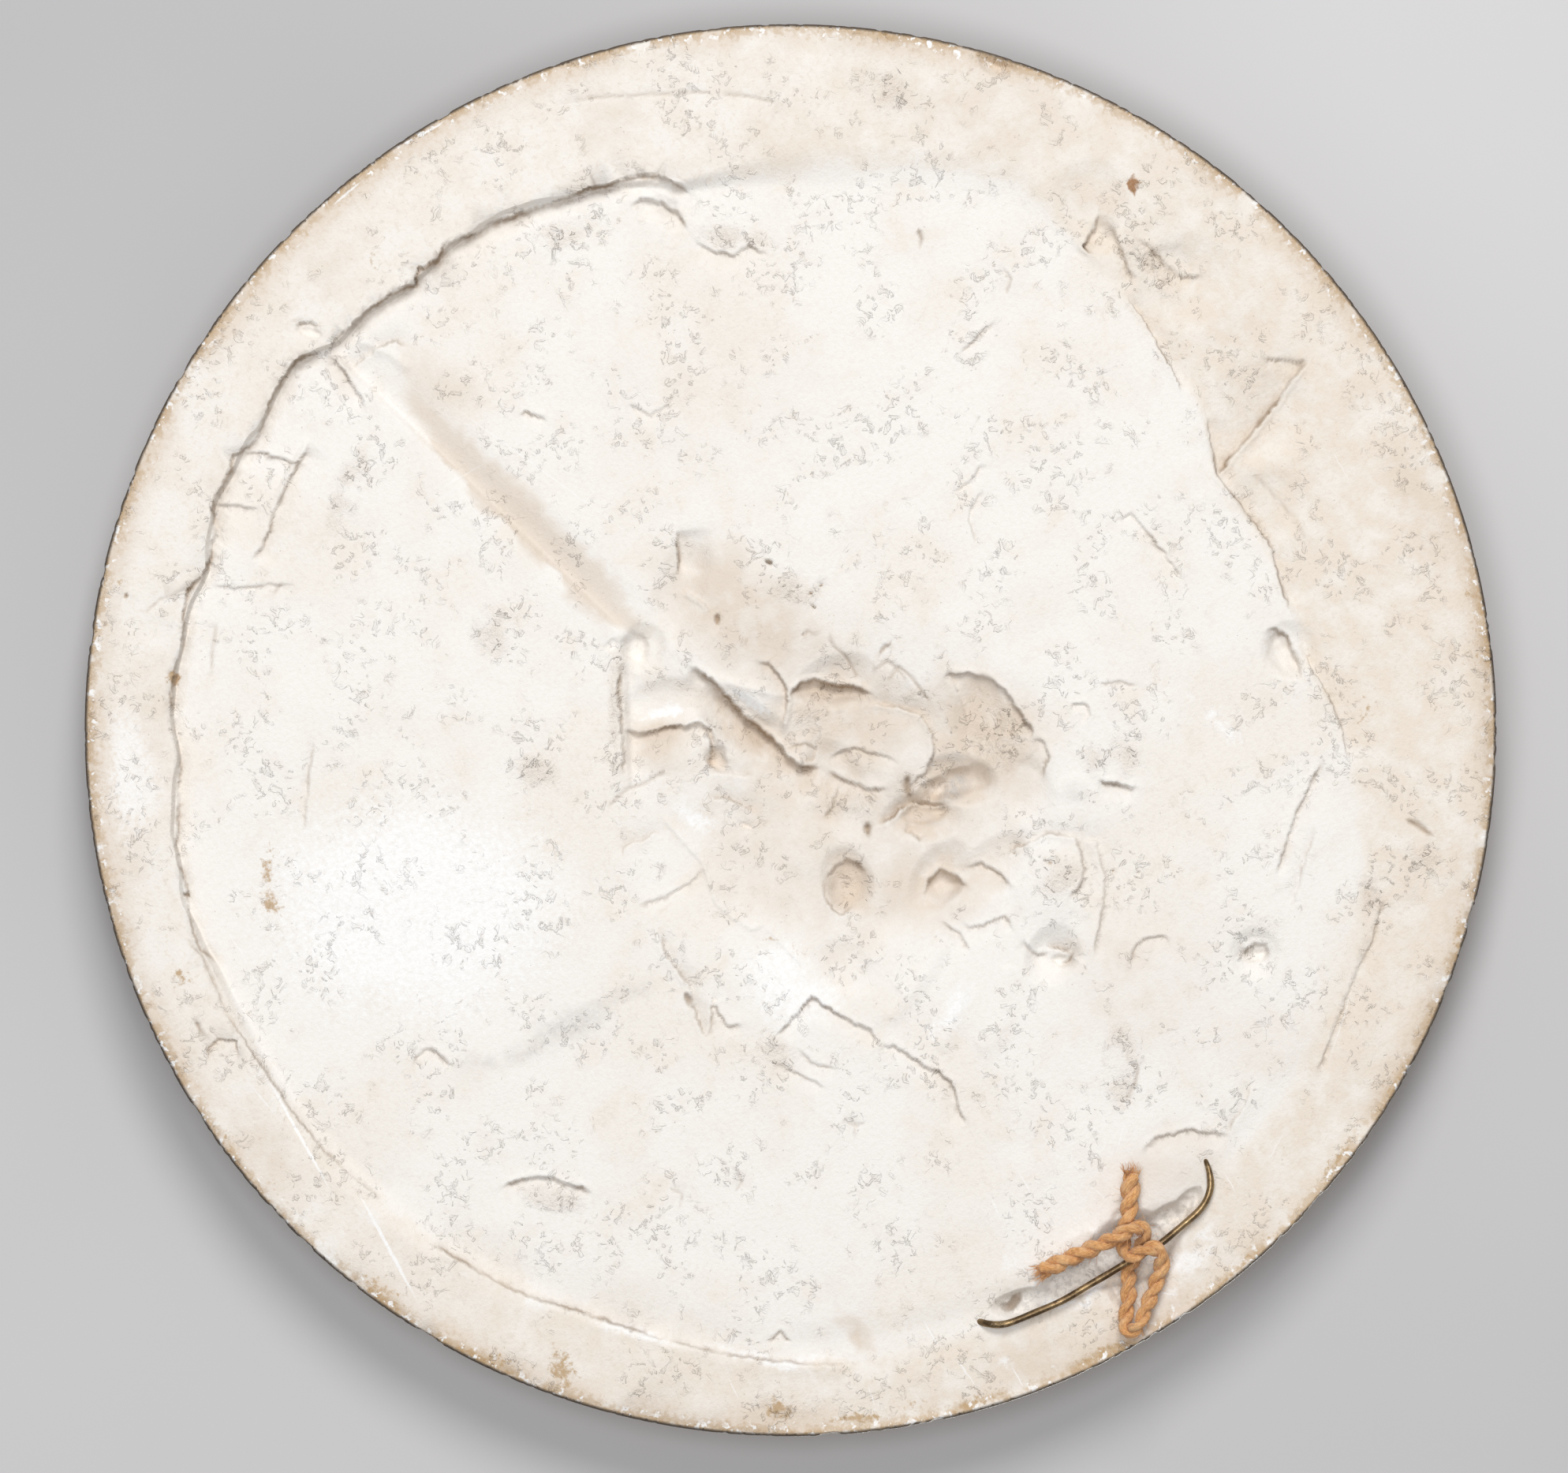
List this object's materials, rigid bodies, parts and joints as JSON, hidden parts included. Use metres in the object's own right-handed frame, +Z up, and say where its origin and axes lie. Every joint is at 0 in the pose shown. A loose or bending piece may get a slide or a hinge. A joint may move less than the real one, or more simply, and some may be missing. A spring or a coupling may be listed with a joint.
{
  "type": "plaster wall relief",
  "caption": "Round cast-plaster wall relief with a rough struck back, a wire hanger and a knotted twine loop.",
  "frame": {"origin": "inside the bight of the twine loop, where a nail carries the relief", "axes": "+Z up, +Y out of the rough back towards the wall, -Y out of the moulded front"},
  "size_m": [0.4001, 0.0384, 0.3999],
  "materials": {
    "plaster": "matte cast plaster, off-white, beige in the hollow, with brown and ochre stains at the edge",
    "brass_wire": "dull brown brass wire, marked with plaster",
    "twine": "two-ply orange-tan twine with frayed ends"
  },
  "bodies": {
    "root": {"plaster_relief": "plaster", "hanger_wire": "brass_wire", "hanging_twine": "twine"}
  },
  "joints": []
}
